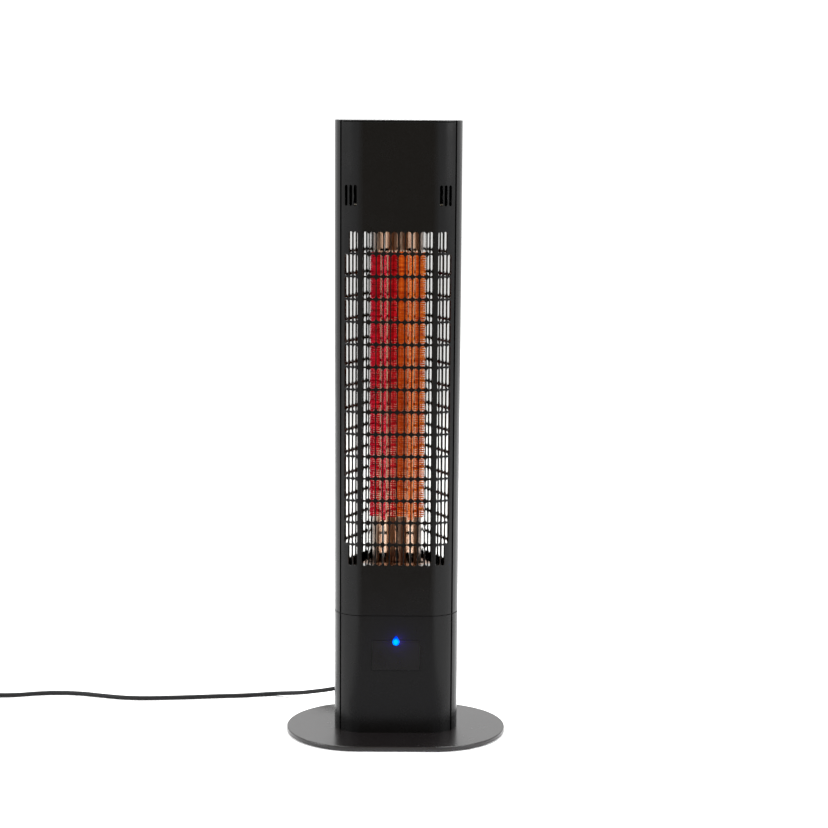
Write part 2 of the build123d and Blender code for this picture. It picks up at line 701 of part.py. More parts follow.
def tilt_pendulum():
    hub = rod_x(TILT_X - 4, TILT_X + 4, TILT_Y, TILT_PIN_Z, 4.5)
    arm = block(TILT_X - 2, TILT_X + 2, TILT_Y - 2.5, TILT_Y + 2.5, 36, TILT_PIN_Z)
    weight = rod_x(TILT_X - 8, TILT_X + 8, TILT_Y, 32, 9.0)
    bore = rod_x(TILT_X - 9, TILT_X + 9, TILT_Y, TILT_PIN_Z, PADDLE_PIN_RADIUS + RUNNING_GAP)
    return hub + arm + weight - bore


def tilt_microswitch():
    body = block(TILT_X - 10, TILT_X + 10, TILT_Y - 8, TILT_Y + 6, 70, 82)
    button = rod_z(TILT_X, TILT_Y, 67.2, 70, 1.6)
    return body + button


# ---- Cord ----
def cord():
    return tube(CORD_ROUTE, CORD_RADIUS)


def cord_tail():
    return tube(TAIL_ROUTE, CORD_RADIUS)


def cord_coil():
    outer = rod_z(COIL_X, COIL_Y, COIL_LOW, COIL_HIGH, COIL_RADIUS + COIL_BAND / 2)
    inner = rod_z(COIL_X, COIL_Y, COIL_LOW - 1, COIL_HIGH + 1, COIL_RADIUS - COIL_BAND / 2)
    ring = outer - inner
    return fillet(ring.edges().filter_by(GeomType.CIRCLE), CORD_RADIUS)


def coil_tie():
    x = COIL_X + COIL_RADIUS
    half = COIL_BAND / 2
    outer = block(x - half - 1.2, x + half + 1.2, COIL_Y - 5, COIL_Y + 5, 0, COIL_HIGH + 1.2)
    outer = fillet(outer.edges().filter_by(Axis.Y), CORD_RADIUS)
    inner = block(x - half - 0.7, x + half + 0.1, COIL_Y - 6, COIL_Y + 6, COIL_LOW - 0.1, COIL_HIGH + 0.1)
    inner = fillet(inner.edges().filter_by(Axis.Y), CORD_RADIUS - 1)
    return outer - inner


def plug_body():
    back = PLUG_BACK_Y
    relief = cone_y(PLUG_X, back - 30, back, PLUG_Z, 8.0, 4.8)
    shoulder = cone_y(PLUG_X, back - 44, back - 30, PLUG_Z, 18.0, 11.0)
    disc = rod_y(PLUG_X, back - 66, back - 44, PLUG_Z, 18.0)
    channels = [block(PLUG_X - 3, PLUG_X + 3, back - 67, back - 52, z0, z0 + 6)
                for z0 in (PLUG_Z - 21.5, PLUG_Z + 15.5)]
    sockets = [rod_y(PLUG_X + s * 9.5, back - 67, back - 60, PLUG_Z, 2.4) for s in (-1, 1)]
    return relief + shoulder + disc - channels - sockets


def plug_pins():
    front = PLUG_BACK_Y - 66
    pins = []
    for side in (-1, 1):
        x = PLUG_X + side * 9.5
        pin = rod_y(x, front - 19, front + 6, PLUG_Z, 2.4)
        pins.append(chamfer(pin.edges().group_by(Axis.Y)[0], 0.9))
    return Compound(children=pins)


def print_cord_report():
    for name, route in (("cord", CORD_ROUTE), ("cord_tail", TAIL_ROUTE)):
        solid = tube(route, CORD_RADIUS)
        length = FilletPolyline(*route, radius=arc_radii(route)).length
        expected = pi * CORD_RADIUS ** 2 * length
        radii = [round(r, 1) for r in arc_radii(route)]
        print(name, "length", round(length, 1), "volume ratio", round(solid.volume / expected, 4), radii)


def main():
    os.makedirs("parts", exist_ok=True)
    save("base_plate", base_plate())
    save("base_feet", base_feet())
    save("base_screws", base_screws())
    save("foot_bracket", foot_bracket())
    save("lower_front_cover", lower_front_cover())
    save("lower_rear_shell", lower_rear_shell())
    save("lower_side_trims", side_trims(PLATE_TOP, SEAM_LOW))
    save("lower_shell_screws", screws_rear(lower_screw_places(), ROUND))
    save("seam_gasket", seam_gasket())
    save("upper_front_cover", upper_front_cover())
    save("upper_rear_shell", upper_rear_shell())
    save("upper_side_trims", side_trims(SEAM_HIGH, CAP_LOW - 1.4))
    save("upper_shell_screws", screws_rear(upper_screw_places(), ROUND))
    save("top_cap", top_cap())
    save("cap_gasket", cap_gasket())
    save("chassis_rails", chassis_rails())
    save("divider_plate", divider_plate())
    save("heat_shield", heat_shield())
    save("shield_spacers", shield_spacers())
    save("reflector", reflector())
    save("reflector_end_lower", end_plate(REFLECTOR_LOW, REFLECTOR_LOW + 1.2))
    save("reflector_end_upper", end_plate(REFLECTOR_HIGH - 1.2, REFLECTOR_HIGH))
    save("quartz_tube_left", quartz_tube(-LAMP_X))
    save("quartz_tube_right", quartz_tube(LAMP_X))
    save("filament_left", filament(-LAMP_X))
    save("filament_right", filament(LAMP_X))
    save("filament_leads", filament_leads())
    save("lamp_end_caps", lamp_end_caps())
    save("lamp_bracket_lower", lamp_bracket(240.0, 241.5))
    save("lamp_bracket_upper", lamp_bracket(832.5, 834.0))
    save("lamp_leads", lamp_leads())
    save("thermal_cutout", thermal_cutout())
    save("control_paddle", control_paddle())
    save("paddle_pins", paddle_pins())
    save("paddle_springs", paddle_springs())
    save("control_frame", control_frame())
    save("control_board", control_board())
    save("board_screws", board_screws())
    save("board_parts", board_parts())
    save("push_switch", push_switch())
    save("indicator_led", indicator_led())
    save("indicator_lens", indicator_lens())
    save("rocker_case", rocker_case())
    save("power_rocker", power_rocker())
    save("terminal_block", terminal_block())
    save("terminal_screws", terminal_screws())
    save("tilt_bracket", tilt_bracket())
    save("tilt_pin", tilt_pin())
    save("tilt_pendulum", tilt_pendulum())
    save("tilt_microswitch", tilt_microswitch())
    save("cord_gland", cord_gland())
    save("cord_inner_end", cord_inner_end())
    save("cord_clamp", cord_clamp())
    save("cord", cord())
    save("cord_coil", cord_coil())
    save("cord_tail", cord_tail())
    save("coil_tie", coil_tie())
    save("plug_body", plug_body())
    save("plug_pins", plug_pins())
    print_cord_report()


main()
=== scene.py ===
"""Looks of an outdoor column heater: finishes, glowing lamps, mains lead, small springs and a plain studio.

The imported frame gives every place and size. This file dresses its nodes, replaces the few whose shape is
only a stand-in, and lights the result.
"""

import json
import logging
import math
from dataclasses import dataclass
from enum import Enum
from typing import Iterable, Sequence

import bpy
from mathutils import Matrix, Vector


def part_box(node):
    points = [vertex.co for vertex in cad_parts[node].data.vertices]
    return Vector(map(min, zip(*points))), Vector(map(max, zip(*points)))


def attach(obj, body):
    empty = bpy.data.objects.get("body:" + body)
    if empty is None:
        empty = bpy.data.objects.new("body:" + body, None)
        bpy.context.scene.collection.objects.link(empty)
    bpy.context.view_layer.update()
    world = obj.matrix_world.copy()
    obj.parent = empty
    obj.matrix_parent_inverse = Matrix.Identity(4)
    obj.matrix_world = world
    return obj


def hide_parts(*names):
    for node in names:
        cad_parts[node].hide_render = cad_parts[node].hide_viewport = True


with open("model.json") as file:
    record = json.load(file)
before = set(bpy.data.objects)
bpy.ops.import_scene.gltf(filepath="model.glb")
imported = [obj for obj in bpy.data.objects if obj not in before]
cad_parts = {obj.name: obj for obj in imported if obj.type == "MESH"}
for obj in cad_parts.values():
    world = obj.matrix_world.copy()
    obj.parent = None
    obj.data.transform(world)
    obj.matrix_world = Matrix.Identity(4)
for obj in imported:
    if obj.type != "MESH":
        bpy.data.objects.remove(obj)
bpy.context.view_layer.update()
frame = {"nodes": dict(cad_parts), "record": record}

LOG = logging.getLogger("heater")
MM = 0.001
BODY = "heater"

# How far to each side of one half a value reaches, for a noise and for a value that fills 0 to 1.
NOISE_SPREAD = 0.2
FULL_SPREAD = 0.5
LEAST_ROUGHNESS = 0.02
# The share of its own colour that a lit surface would keep if its light were off.
UNLIT_SHARE = 0.1

# A Mix node's colour sockets go by number: its sockets for other kinds of value share their names.
MIX_FACTOR = 0
MIX_FIRST = 6
MIX_SECOND = 7
MIX_COLOUR = 2

Colour = tuple[float, float, float]
Point = tuple[float, float, float]
Socket = bpy.types.NodeSocket


class Axis(Enum):
    """The direction that a rolled grain runs in."""

    X = (1.0, 0.0, 0.0)
    Y = (0.0, 1.0, 0.0)
    Z = (0.0, 0.0, 1.0)


class Side(Enum):
    """Which of the two lamps a piece belongs to, as seen from the front."""

    LEFT = "left"
    RIGHT = "right"


# ---------------------------------------------------------------------------------------------- shader graph
class Graph:
    """A small wrapper round a material's node tree."""

    def __init__(self, name: str) -> None:
        """Makes an empty node material.

        Args:
            name: the material's name.
        """
        self.material = bpy.data.materials.new(name)
        self.material.use_nodes = True
        self.tree = self.material.node_tree
        self.tree.nodes.clear()
        self.output = self.tree.nodes.new("ShaderNodeOutputMaterial")

    def add(self, kind: str, **values: object) -> bpy.types.Node:
        """Adds a node.

        Args:
            kind: the node's type without its "ShaderNode" prefix.
            **values: properties of the node, set as they are.

        Returns:
            The new node.
        """
        node = self.tree.nodes.new("ShaderNode" + kind)
        for key, value in values.items():
            setattr(node, key, value)
        return node

    def join(self, start: Socket, end: Socket) -> None:
        """Links two sockets."""
        self.tree.links.new(start, end)

    def place(self) -> Socket:
        """Returns the object's own coordinates, in metres."""
        return self.add("TexCoord").outputs["Object"]

    def stretched(self, scale: Point) -> Socket:
        """Returns object coordinates scaled along each axis.

        Args:
            scale: the factor along X, Y and Z.

        Returns:
            The scaled vector's socket.
        """
        mapping = self.add("Mapping")
        mapping.inputs["Scale"].default_value = scale
        self.join(self.place(), mapping.inputs["Vector"])
        return mapping.outputs["Vector"]

    def noise(self, where: Socket, scale: float = 1.0, detail: float = 2.0) -> Socket:
        """Adds a noise texture.

        Args:
            where: the coordinates it reads.
            scale: how many grains there are to a unit of those.
            detail: how many finer layers it has.

        Returns:
            The noise value's socket.
        """
        node = self.add("TexNoise")
        node.inputs["Scale"].default_value = scale
        node.inputs["Detail"].default_value = detail
        self.join(where, node.inputs["Vector"])
        return node.outputs["Fac"]

    def ranged(
        self, value: Socket, low: float = 0.0, high: float = 1.0, spread: float = NOISE_SPREAD
    ) -> Socket:
        """Maps a noise value to a range.

        Args:
            value: the socket to map.
            low: the result at the bottom of the noise.
            high: the result at its top.
            spread: how far from one half the noise is taken to reach.

        Returns:
            The mapped value's socket.
        """
        node = self.add("MapRange")
        node.inputs["From Min"].default_value = 0.5 - spread
        node.inputs["From Max"].default_value = 0.5 + spread
        node.inputs["To Min"].default_value = low
        node.inputs["To Max"].default_value = high
        self.join(value, node.inputs["Value"])
        return node.outputs["Result"]

    def eased(self, value: Socket, start: float, end: float) -> Socket:
        """Maps a value to a smooth step.

        Args:
            value: the socket to map.
            start: where the step is still 0.
            end: where it reaches 1.

        Returns:
            The step's socket.
        """
        node = self.add("MapRange", interpolation_type="SMOOTHSTEP")
        node.inputs["From Min"].default_value = start
        node.inputs["From Max"].default_value = end
        self.join(value, node.inputs["Value"])
        return node.outputs["Result"]

    def calc(self, operation: str, *values: Socket | float) -> Socket:
        """Does one sum.

        Args:
            operation: what the node does with its values.
            *values: sockets or constants, in order.

        Returns:
            The result's socket.
        """
        node = self.add("Math", operation=operation)
        for socket, value in zip(node.inputs, values):
            if isinstance(value, Socket):
                self.join(value, socket)
            else:
                socket.default_value = value
        return node.outputs["Value"]

    def blend(self, factor: Socket, first: Socket | Colour, second: Socket | Colour) -> Socket:
        """Mixes two colours.

        Args:
            factor: 0 for the first colour and 1 for the second.
            first: the first colour.
            second: the second colour.

        Returns:
            The mixed colour's socket.
        """
        node = self.add("Mix", data_type="RGBA")
        self.join(factor, node.inputs[MIX_FACTOR])
        for index, colour in ((MIX_FIRST, first), (MIX_SECOND, second)):
            if isinstance(colour, Socket):
                self.join(colour, node.inputs[index])
            else:
                node.inputs[index].default_value = opaque(colour)
        return node.outputs[MIX_COLOUR]

    def bump(
        self, height: Socket, depth: float, strength: float = 1.0, under: Socket | None = None
    ) -> Socket:
        """Turns a height into a normal.

        Args:
            height: the height's socket, 0 to 1.
            depth: the relief's full height in metres.
            strength: how much of it shows.
            under: the normal that it adds to.

        Returns:
            The normal's socket.
        """
        node = self.add("Bump")
        node.inputs["Strength"].default_value = strength
        node.inputs["Distance"].default_value = depth
        self.join(height, node.inputs["Height"])
        if under is not None:
            self.join(under, node.inputs["Normal"])
        return node.outputs["Normal"]

    def principled(self, **values: object) -> bpy.types.Node:
        """Adds the surface shader and links it to the output.

        Args:
            **values: socket names, with underscores for spaces, and their constants.

        Returns:
            The shader node.
        """
        node = self.add("BsdfPrincipled")
        for key, value in values.items():
            node.inputs[key.replace("_", " ")].default_value = value
        self.join(node.outputs["BSDF"], self.output.inputs["Surface"])
        return node

    def emit(self, shader: bpy.types.Node, colour: Socket, strength: float) -> None:
        """Makes a surface give light.

        Args:
            shader: the surface shader.
            colour: the light's colour.
            strength: how strong it is.
        """
        self.join(colour, shader.inputs["Emission Color"])
        shader.inputs["Emission Strength"].default_value = strength


def shade(colour: Colour, factor: float) -> Colour:
    """Returns a colour made lighter or darker."""
    return tuple(min(1.0, channel * factor) for channel in colour)


def opaque(colour: Colour) -> tuple[float, float, float, float]:
    """Returns a colour with its alpha."""
    return (*colour, 1.0)


# -------------------------------------------------------------------------------------------------- finishes
@dataclass(frozen=True)
class Finish:
    """A surface with a tone that wanders a little and a fine grain."""

    name: str
    colour: Colour
    roughness: float = 0.5
    metallic: float = 0.0
    specular: float = 0.5
    coat: float = 0.0
    coat_roughness: float = 0.08
    mottle: float = 0.15
    mottle_scale: float = 24.0
    mottle_detail: float = 4.0
    grain_scale: float = 900.0
    grain_detail: float = 2.0
    grain_depth: float = 0.02 * MM
    roughness_swing: float = 0.06

    def material(self) -> bpy.types.Material:
        """Returns the finish as a node material."""
        graph = Graph(self.name)
        shader = self.base(graph)
        place = graph.place()
        cloud = graph.noise(place, self.mottle_scale, self.mottle_detail)
        self.lay_tone(graph, shader, graph.ranged(cloud))
        self.lay_roughness(graph, shader, cloud)
        grain = graph.noise(place, self.grain_scale, self.grain_detail)
        graph.join(graph.bump(grain, self.grain_depth), shader.inputs["Normal"])
        return graph.material

    def base(self, graph: Graph) -> bpy.types.Node:
        """Returns the shader with this finish's constants."""
        return graph.principled(
            Metallic=self.metallic,
            Specular_IOR_Level=self.specular,
            Coat_Weight=self.coat,
            Coat_Roughness=self.coat_roughness,
        )

    def lay_tone(self, graph: Graph, shader: bpy.types.Node, tone: Socket) -> None:
        """Gives the shader a colour that wanders.

        Args:
            graph: the material's graph.
            shader: the surface shader.
            tone: 0 for the darkest shade of the colour and 1 for the lightest.
        """
        colour = graph.blend(tone, shade(self.colour, 1 - self.mottle), shade(self.colour, 1 + self.mottle))
        graph.join(colour, shader.inputs["Base Color"])

    def lay_roughness(
        self, graph: Graph, shader: bpy.types.Node, value: Socket, spread: float = NOISE_SPREAD
    ) -> None:
        """Gives the shader a roughness that swings.

        Args:
            graph: the material's graph.
            shader: the surface shader.
            value: the noise that it follows.
            spread: how far from one half the noise is taken to reach.
        """
        low = max(LEAST_ROUGHNESS, self.roughness - self.roughness_swing)
        high = self.roughness + self.roughness_swing
        graph.join(graph.ranged(value, low, high, spread), shader.inputs["Roughness"])


@dataclass(frozen=True)
class PowderCoat(Finish):
    """A satin powder coat: fine orange peel under a slight overall haze."""

    mottle_detail: float = 5.0
    grain_detail: float = 1.0
    speck_spread: float = 0.25
    peel_scale: float = 420.0
    peel_depth: float = 0.03 * MM
    relief: float = 0.5

    def material(self) -> bpy.types.Material:
        """Returns the powder coat as a node material."""
        graph = Graph(self.name)
        shader = self.base(graph)
        place = graph.place()
        cloud = graph.noise(place, self.mottle_scale, self.mottle_detail)
        speck = graph.noise(place, self.grain_scale, self.grain_detail)
        peel = graph.noise(place, self.peel_scale)
        self.lay_tone(graph, shader, graph.ranged(speck, spread=self.speck_spread))
        self.lay_roughness(graph, shader, cloud)
        fine = graph.bump(speck, self.grain_depth, self.relief)
        coarse = graph.bump(peel, self.peel_depth, self.relief, under=fine)
        graph.join(coarse, shader.inputs["Normal"])
        return graph.material


@dataclass(frozen=True)
class RolledMetal(Finish):
    """Sheet, wire or sleeve with a grain that runs one way."""

    mottle_detail: float = 3.0
    along: Axis = Axis.Z
    streak_scale: float = 700.0
    streak_detail: float = 3.0
    streak_ratio: float = 0.02

    def material(self) -> bpy.types.Material:
        """Returns the sheet as a node material."""
        graph = Graph(self.name)
        shader = self.base(graph)
        cloud = graph.noise(graph.place(), self.mottle_scale, self.mottle_detail)
        self.lay_tone(graph, shader, graph.ranged(cloud))
        self.lay_streaks(graph, shader)
        return graph.material

    def lay_streaks(self, graph: Graph, shader: bpy.types.Node) -> None:
        """Gives the shader the grain's roughness and relief.

        Args:
            graph: the material's graph.
            shader: the surface shader.
        """
        scale = tuple(self.streak_ratio if part else 1.0 for part in self.along.value)
        streak = graph.noise(graph.stretched(scale), self.streak_scale, self.streak_detail)
        self.lay_roughness(graph, shader, streak)
        graph.join(graph.bump(streak, self.grain_depth), shader.inputs["Normal"])


@dataclass(frozen=True)
class GlowPaintedMirror(RolledMetal):
    """Mirror sheet with a painted warm glow of the lamps, in streaks along its middle, put into its colour in
    place of lamp light.
    """

    # Lighter and darker streak colours of the painted lamp glow.
    pale: Colour = (0.86, 0.62, 0.46)
    deep: Colour = (0.34, 0.13, 0.06)
    glow_full_to: float = 30 * MM
    glow_gone_from: float = 41 * MM
    glow_streak_scale: Point = (170.0, 170.0, 3.0)

    def material(self) -> bpy.types.Material:
        """Returns the sheet, with its painted lamp glow, as a node material."""
        graph = Graph(self.name)
        shader = self.base(graph)
        split = graph.add("SeparateXYZ")
        graph.join(graph.place(), split.inputs["Vector"])
        # Mask: 0 within the inner distance from the middle, where the painted glow is full, rising to 1 at
        # the outer distance, where the plain mirror colour shows.
        edge = graph.eased(graph.calc("ABSOLUTE", split.outputs["X"]), self.glow_full_to, self.glow_gone_from)
        patches = graph.ranged(graph.noise(graph.stretched(self.glow_streak_scale)))
        # Painted light: warm lamp-coloured streaks that stand in for the lamps' glow on the mirror.
        tint = graph.blend(patches, self.deep, self.pale)
        graph.join(graph.blend(edge, tint, self.colour), shader.inputs["Base Color"])
        self.lay_streaks(graph, shader)
        return graph.material


@dataclass(frozen=True)
class Spangle(Finish):
    """Galvanised sheet with its crystal pattern."""

    crystal_scale: float = 130.0

    def material(self) -> bpy.types.Material:
        """Returns the sheet as a node material."""
        graph = Graph(self.name)
        shader = self.base(graph)
        crystals = graph.add("TexVoronoi")
        crystals.inputs["Scale"].default_value = self.crystal_scale
        graph.join(graph.place(), crystals.inputs["Vector"])
        split = graph.add("SeparateColor")
        graph.join(crystals.outputs["Color"], split.inputs["Color"])
        self.lay_tone(graph, shader, graph.ranged(split.outputs["Red"], spread=FULL_SPREAD))
        self.lay_roughness(graph, shader, split.outputs["Green"], FULL_SPREAD)
        return graph.material


@dataclass(frozen=True)
class Quartz:
    """Clear fused quartz."""

    name: str = "quartz"
    tint: Colour = (0.99, 0.985, 0.98)
    streak_shade: float = 0.97
    streak_stretch: Point = (1.0, 1.0, 0.05)
    streak_scale: float = 260.0
    bending: float = 1.3

    def material(self) -> bpy.types.Material:
        """Returns the glass as a node material."""
        graph = Graph(self.name)
        shader = graph.principled(Transmission_Weight=1.0, IOR=self.bending, Roughness=0.0)
        streak = graph.noise(graph.stretched(self.streak_stretch), self.streak_scale)
        colour = graph.blend(graph.ranged(streak), shade(self.tint, self.streak_shade), self.tint)
        graph.join(colour, shader.inputs["Base Color"])
        return graph.material


@dataclass(frozen=True)
class Glow:
    """A hot wire, brighter in some places than in others."""

    name: str
    dim: Colour
    bright: Colour
    strength: float = 1.0
    roughness: float = 0.4
    patch_scale: Point = (180.0, 180.0, 300.0)

    def material(self) -> bpy.types.Material:
        """Returns the glow as a node material."""
        graph = Graph(self.name)
        shader = graph.principled(
            Base_Color=opaque(shade(self.dim, UNLIT_SHARE)), Roughness=self.roughness, Specular_IOR_Level=0.0
        )
        patches = graph.ranged(graph.noise(graph.stretched(self.patch_scale)))
        graph.emit(shader, graph.blend(patches, self.dim, self.bright), self.strength)
        return graph.material


@dataclass(frozen=True)
class LensGlow:
    """A lit lens: pale in the middle of its round end and deep at its rim and tip."""

    name: str
    core: Colour
    body: Colour
    rim: Colour
    centre: Point
    reach: float = 7.0 * MM
    core_to: float = 0.42
    body_at: float = 0.78
    wander: float = 0.12
    wander_scale: float = 300.0
    strength: float = 1.0
    roughness: float = 0.3

    def material(self) -> bpy.types.Material:
        """Returns the lit lens as a node material."""
        graph = Graph(self.name)
        shader = graph.principled(
            Base_Color=opaque(shade(self.body, UNLIT_SHARE)), Roughness=self.roughness, Specular_IOR_Level=0.0
        )
        apart = graph.add("VectorMath", operation="DISTANCE")
        apart.inputs[1].default_value = self.centre
        graph.join(graph.place(), apart.inputs[0])
        share = graph.calc("DIVIDE", apart.outputs["Value"], self.reach)
        wander = graph.ranged(graph.noise(graph.place(), self.wander_scale), -self.wander, self.wander)
        ramp = graph.add("ValToRGB")
        stops = ramp.color_ramp.elements
        stops[0].position, stops[0].color = self.core_to, opaque(self.core)
        stops[1].position, stops[1].color = 1.0, opaque(self.rim)
        stops.new(self.body_at).color = opaque(self.body)
        graph.join(graph.calc("ADD", share, wander), ramp.inputs["Fac"])
        graph.emit(shader, ramp.outputs["Color"], self.strength)
        return graph.material


def lens_centre() -> Point:
    """Returns the middle of the indicator lens's round end, in metres."""
    low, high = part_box("indicator_lens")
    radius = (high.x - low.x) / 2
    return ((low.x + high.x) / 2, low.y, low.z + radius)


CASING = (
    PowderCoat("black_coat", (0.003, 0.003, 0.0031), 0.26, specular=0.18, mottle=0.25,
               grain_depth=0.008 * MM, peel_depth=0.012 * MM, roughness_swing=0.03),
    PowderCoat("base_coat", (0.009, 0.0078, 0.0076), 0.25, specular=0.48, mottle=0.25,
               grain_depth=0.008 * MM, peel_depth=0.01 * MM, roughness_swing=0.03),
    Finish("cap_gloss", (0.003, 0.003, 0.003), 0.3, specular=0.3, roughness_swing=0.04,
           grain_depth=0.006 * MM),
    Finish("panel_plastic", (0.0045, 0.0045, 0.0047), 0.28, specular=0.22, mottle=0.2,
           grain_depth=0.008 * MM, roughness_swing=0.03),
    Finish("trim_rubber", (0.002, 0.002, 0.002), 0.7, specular=0.1),
    Finish("foot_rubber", (0.02, 0.02, 0.02), 0.75, grain_depth=0.05 * MM),
    Finish("inner_plastic", (0.03, 0.03, 0.03), 0.5),
    Finish("white_plastic", (0.74, 0.74, 0.71), 0.45, mottle=0.05),
)
METALS = (
    RolledMetal("zinc_steel", (0.6, 0.6, 0.57), 0.36, 1.0, along=Axis.X),
    RolledMetal("spring_steel", (0.5, 0.5, 0.49), 0.28, 1.0, along=Axis.X),
    RolledMetal("brass", (0.78, 0.56, 0.25), 0.3, 1.0, along=Axis.X),
    RolledMetal("pin_nickel", (0.7, 0.68, 0.62), 0.18, 1.0, along=Axis.Y),
    Spangle("galvanised", (0.5, 0.51, 0.52), 0.42, 1.0, mottle=0.22, roughness_swing=0.12),
    Finish("screw_black", (0.03, 0.03, 0.032), 0.38, 0.9, grain_scale=1800.0),
    Finish("lead_wire", (0.5, 0.5, 0.5), 0.35, 1.0),
)
LAMP_FINISHES = (
    # The mirror's middle carries a painted glow of the lamps in its colour.
    GlowPaintedMirror("mirror_alu", (0.66, 0.66, 0.65), 0.03, 1.0, roughness_swing=0.012,
             grain_depth=0.0006 * MM, streak_ratio=0.05),
    Quartz(),
    Glow("filament_left", dim=(0.14, 0.0, 0.003), bright=(0.78, 0.016, 0.045)),
    Glow("filament_right", dim=(0.4, 0.03, 0.003), bright=(0.9, 0.24, 0.03)),
    Finish("ceramic", (0.78, 0.75, 0.69), 0.7, mottle=0.06, grain_depth=0.06 * MM),
    RolledMetal("silicone_lead", (0.62, 0.58, 0.5), 0.7, along=Axis.X, grain_depth=0.05 * MM),
)
CONTROLS = (
    LensGlow("lens_blue", core=(0.0, 0.6, 1.0), body=(0.0, 0.17, 1.0), rim=(0.0, 0.02, 0.62),
             centre=lens_centre()),
    Finish("led_body", (0.55, 0.75, 0.95), 0.15),
    Finish("board_green", (0.015, 0.12, 0.05), 0.3, coat=0.4, mottle_scale=160.0),
    Finish("relay_blue", (0.03, 0.09, 0.34), 0.35),
)
LEAD_FINISHES = (
    Finish("cord_jacket", (0.004, 0.004, 0.0045), 0.5, specular=0.25, mottle=0.2, mottle_scale=80.0,
           grain_scale=1600.0, grain_depth=0.04 * MM),
    Finish("plug_rubber", (0.006, 0.006, 0.0065), 0.5, specular=0.28, grain_scale=1400.0,
           grain_depth=0.04 * MM),
    Finish("tie_plastic", (0.007, 0.007, 0.007), 0.5, specular=0.3),
)
FINISHES = {finish.name: finish for finish in CASING + METALS + LAMP_FINISHES + CONTROLS + LEAD_FINISHES}


class Paintbox:
    """Makes each finish's material once and puts it on pieces."""

    def __init__(self) -> None:
        """Starts with no materials made."""
        self.made: dict[str, bpy.types.Material] = {}

    def material(self, name: str) -> bpy.types.Material:
        """Returns the named finish's material."""
        if name not in self.made:
            self.made[name] = FINISHES[name].material()
        return self.made[name]

    def paint(self, piece: bpy.types.Object, name: str) -> None:
        """Gives a whole piece one finish.

        Args:
            piece: the mesh or curve to paint.
            name: the finish's name.
        """
        piece.data.materials.clear()
        piece.data.materials.append(self.material(name))

    def dress_nodes(self) -> None:
        """Paints every node of the frame with the finish that its record names."""
        for part in frame["record"]["subparts"]:
            node = frame["nodes"][part["node"]]
            if part["material_slot"] in FINISHES:
                self.paint(node, part["material_slot"])
                LOG.info("dressed %s in %s", part["node"], part["material_slot"])


# --------------------------------------------------------------------------------------------- curve pieces
@dataclass(frozen=True)
class Wire:
    """A round wire or lead, drawn as one smooth spline."""

    radius: float
    order: int = 3
    sides: int = 2
    steps: int = 6

    def build(self, name: str, points: Sequence[Point]) -> bpy.types.Object:
        """Draws the wire.

        Args:
            name: the piece's name.
            points: the spline's control points, in metres.

        Returns:
            The curve object.
        """
        data = bpy.data.curves.new(name, "CURVE")
        data.dimensions = "3D"
        data.bevel_depth = self.radius
        data.bevel_resolution = self.sides
        data.use_fill_caps = True
        spline = data.splines.new("NURBS")
        spline.points.add(len(points) - 1)
        for control, point in zip(spline.points, points):
            control.co = (*point, 1.0)
        spline.order_u = self.order
        spline.use_endpoint_u = True
        spline.resolution_u = self.steps
        piece = bpy.data.objects.new(name, data)
        bpy.context.scene.collection.objects.link(piece)
        return piece


def finish_piece(
    piece: bpy.types.Object, body: str, nodes: Iterable[str] = ()
) -> bpy.types.Object:
    """Joins a new piece to the frame.

    Args:
        piece: the piece, in place.
        body: the body that it rides on.
        nodes: the nodes that it stands for.

    Returns:
        The same piece.
    """
    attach(piece, body)
    for node in nodes:
        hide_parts(node)
    return piece


@dataclass
class Lamp:
    """One quartz lamp's heating wire: a tight helix as long and as wide as the node that it stands for."""

    side: Side
    wire_radius: float = 1.15 * MM
    pitch: float = 3.4 * MM
    steps: int = 12

    def build(self, paints: Paintbox) -> bpy.types.Object:
        """Winds the helix in the place of the node that stands for it.

        Args:
            paints: the finishes.

        Returns:
            The helix.
        """
        node = f"filament_{self.side.value}"
        low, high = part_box(node)
        centre = (low + high) / 2
        radius = (high.x - low.x) / 2 - self.wire_radius
        turns = int((high.z - low.z - 2 * self.wire_radius) / self.pitch)
        points = []
        for step in range(turns * self.steps + 1):
            angle = 2 * math.pi * step / self.steps
            height = low.z + self.wire_radius + self.pitch * step / self.steps
            points.append((centre.x + radius * math.cos(angle), centre.y + radius * math.sin(angle), height))
        wire = Wire(self.wire_radius, sides=1, steps=2)
        helix = wire.build(f"heating_wire_{self.side.value}", points)
        paints.paint(helix, node)
        LOG.info("wound %s: %d turns", helix.name, turns)
        return finish_piece(helix, BODY, [node])


@dataclass
class PanelSprings:
    """The two torsion springs on the press panel's pins."""

    wire_radius: float = 0.32 * MM
    length: float = 6.5 * MM
    turns: int = 6
    steps: int = 12

    def build(self, paints: Paintbox) -> None:
        """Winds both springs round the pins.

        Args:
            paints: the finishes.
        """
        low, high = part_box("paddle_springs")
        axis_y = (low.y + high.y) / 2
        axis_z = (low.z + high.z) / 2
        radius = (high.y - low.y) / 2 - self.wire_radius
        span = self.length - 2 * self.wire_radius
        last = self.turns * self.steps
        for index, start in enumerate((low.x, high.x - self.length)):
            points = []
            for step in range(last + 1):
                angle = 2 * math.pi * step / self.steps
                x = start + self.wire_radius + span * step / last
                points.append((x, axis_y + radius * math.cos(angle), axis_z + radius * math.sin(angle)))
            spring = Wire(self.wire_radius).build(f"panel_spring_{index + 1}", points)
            paints.paint(spring, "spring_steel")
            finish_piece(spring, BODY, ["paddle_springs"])
            LOG.info("wound %s", spring.name)


